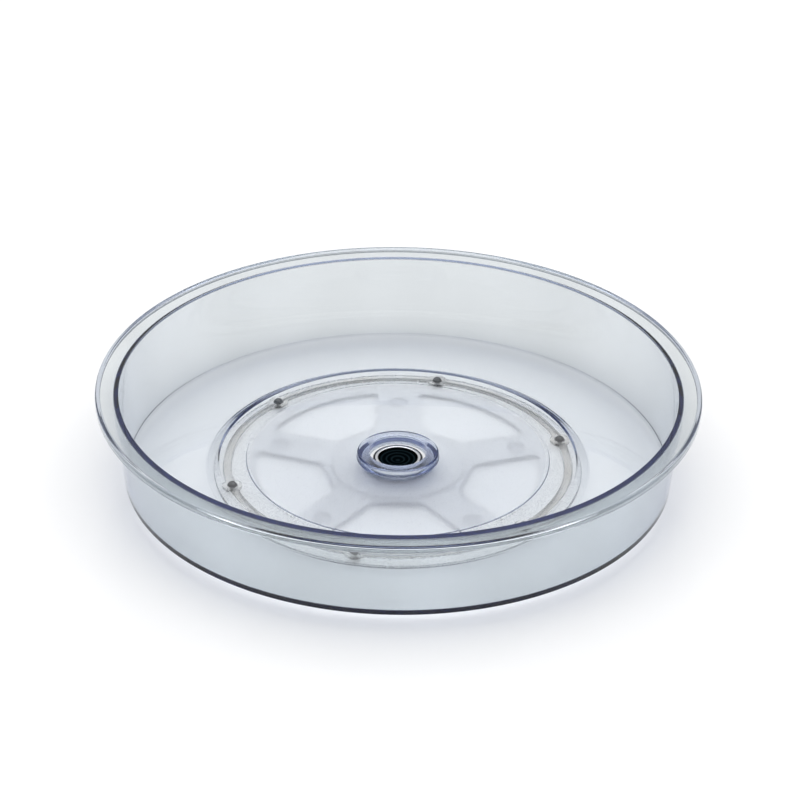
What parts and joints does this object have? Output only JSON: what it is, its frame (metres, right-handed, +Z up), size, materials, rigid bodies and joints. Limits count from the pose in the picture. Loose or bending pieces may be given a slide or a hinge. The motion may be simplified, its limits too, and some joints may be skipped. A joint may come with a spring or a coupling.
{
  "type": "turntable tray",
  "caption": "Round clear plastic turntable tray with a flared rim, spinning on a spoked base with a caged ball race and a riveted centre pivot.",
  "frame": {"origin": "on the spin axis, at the surface that the feet stand on", "axes": "+Z up along the spin axis; +Y points along one spoke of the base, away from the front"},
  "size_m": [0.284, 0.284, 0.0469],
  "materials": {
    "clear_plastic": "clear, polished, injection moulded",
    "frosted_plastic": "clear with a satin underside",
    "clear_rubber": "soft translucent bumper",
    "natural_nylon": "natural, slightly translucent",
    "ball_steel": "polished bearing steel",
    "bright_steel": "bright, lightly turned",
    "black_steel": "black oxide",
    "black_plastic": "black, satin gloss"
  },
  "bodies": {
    "base": {"base": "frosted_plastic", "foot_1": "clear_rubber", "foot_2": "clear_rubber", "foot_3": "clear_rubber", "foot_4": "clear_rubber", "foot_5": "clear_rubber", "pivot_sleeve": "bright_steel", "thrust_washer": "natural_nylon", "retaining_washer": "natural_nylon", "retaining_clip": "black_steel", "pivot_cap": "black_plastic"},
    "tray": {"tray": "clear_plastic", "pivot_bush": "black_plastic"},
    "ball_cage": {"ball_cage": "natural_nylon"},
    "ball_1": {"ball_1": "ball_steel"},
    "ball_2": {"ball_2": "ball_steel"},
    "ball_3": {"ball_3": "ball_steel"},
    "ball_4": {"ball_4": "ball_steel"},
    "ball_5": {"ball_5": "ball_steel"},
    "ball_6": {"ball_6": "ball_steel"}
  },
  "joints": [
    {"name": "tray_spin", "type": "hinge", "parent": "base", "child": "tray", "pos_m": [0, 0, 0], "axis": [0, 0, 1], "continuous": true},
    {"name": "cage_spin", "type": "hinge", "parent": "base", "child": "ball_cage", "pos_m": [0, 0, 0], "axis": [0, 0, 1], "continuous": true},
    {"name": "ball_1_roll", "type": "hinge", "parent": "ball_cage", "child": "ball_1", "pos_m": [0.07728, 0.02289, 0.004], "axis": [-0.9588, -0.284, 0], "continuous": true},
    {"name": "ball_2_roll", "type": "hinge", "parent": "ball_cage", "child": "ball_2", "pos_m": [0.01882, 0.07837, 0.004], "axis": [-0.2334, -0.9724, 0], "continuous": true},
    {"name": "ball_3_roll", "type": "hinge", "parent": "ball_cage", "child": "ball_3", "pos_m": [-0.05847, 0.05548, 0.004], "axis": [0.7254, -0.6884, 0], "continuous": true},
    {"name": "ball_4_roll", "type": "hinge", "parent": "ball_cage", "child": "ball_4", "pos_m": [-0.07728, -0.02289, 0.004], "axis": [0.9588, 0.284, 0], "continuous": true},
    {"name": "ball_5_roll", "type": "hinge", "parent": "ball_cage", "child": "ball_5", "pos_m": [-0.01882, -0.07837, 0.004], "axis": [0.2334, 0.9724, 0], "continuous": true},
    {"name": "ball_6_roll", "type": "hinge", "parent": "ball_cage", "child": "ball_6", "pos_m": [0.05847, -0.05548, 0.004], "axis": [-0.7254, 0.6884, 0], "continuous": true}
  ],
  "couplings": [
    {"joint": "cage_spin", "follows": "tray_spin", "ratio": 0.5},
    {"joint": "ball_1_roll", "follows": "tray_spin", "ratio": 16.933},
    {"joint": "ball_2_roll", "follows": "tray_spin", "ratio": 16.933},
    {"joint": "ball_3_roll", "follows": "tray_spin", "ratio": 16.933},
    {"joint": "ball_4_roll", "follows": "tray_spin", "ratio": 16.933},
    {"joint": "ball_5_roll", "follows": "tray_spin", "ratio": 16.933},
    {"joint": "ball_6_roll", "follows": "tray_spin", "ratio": 16.933}
  ]
}
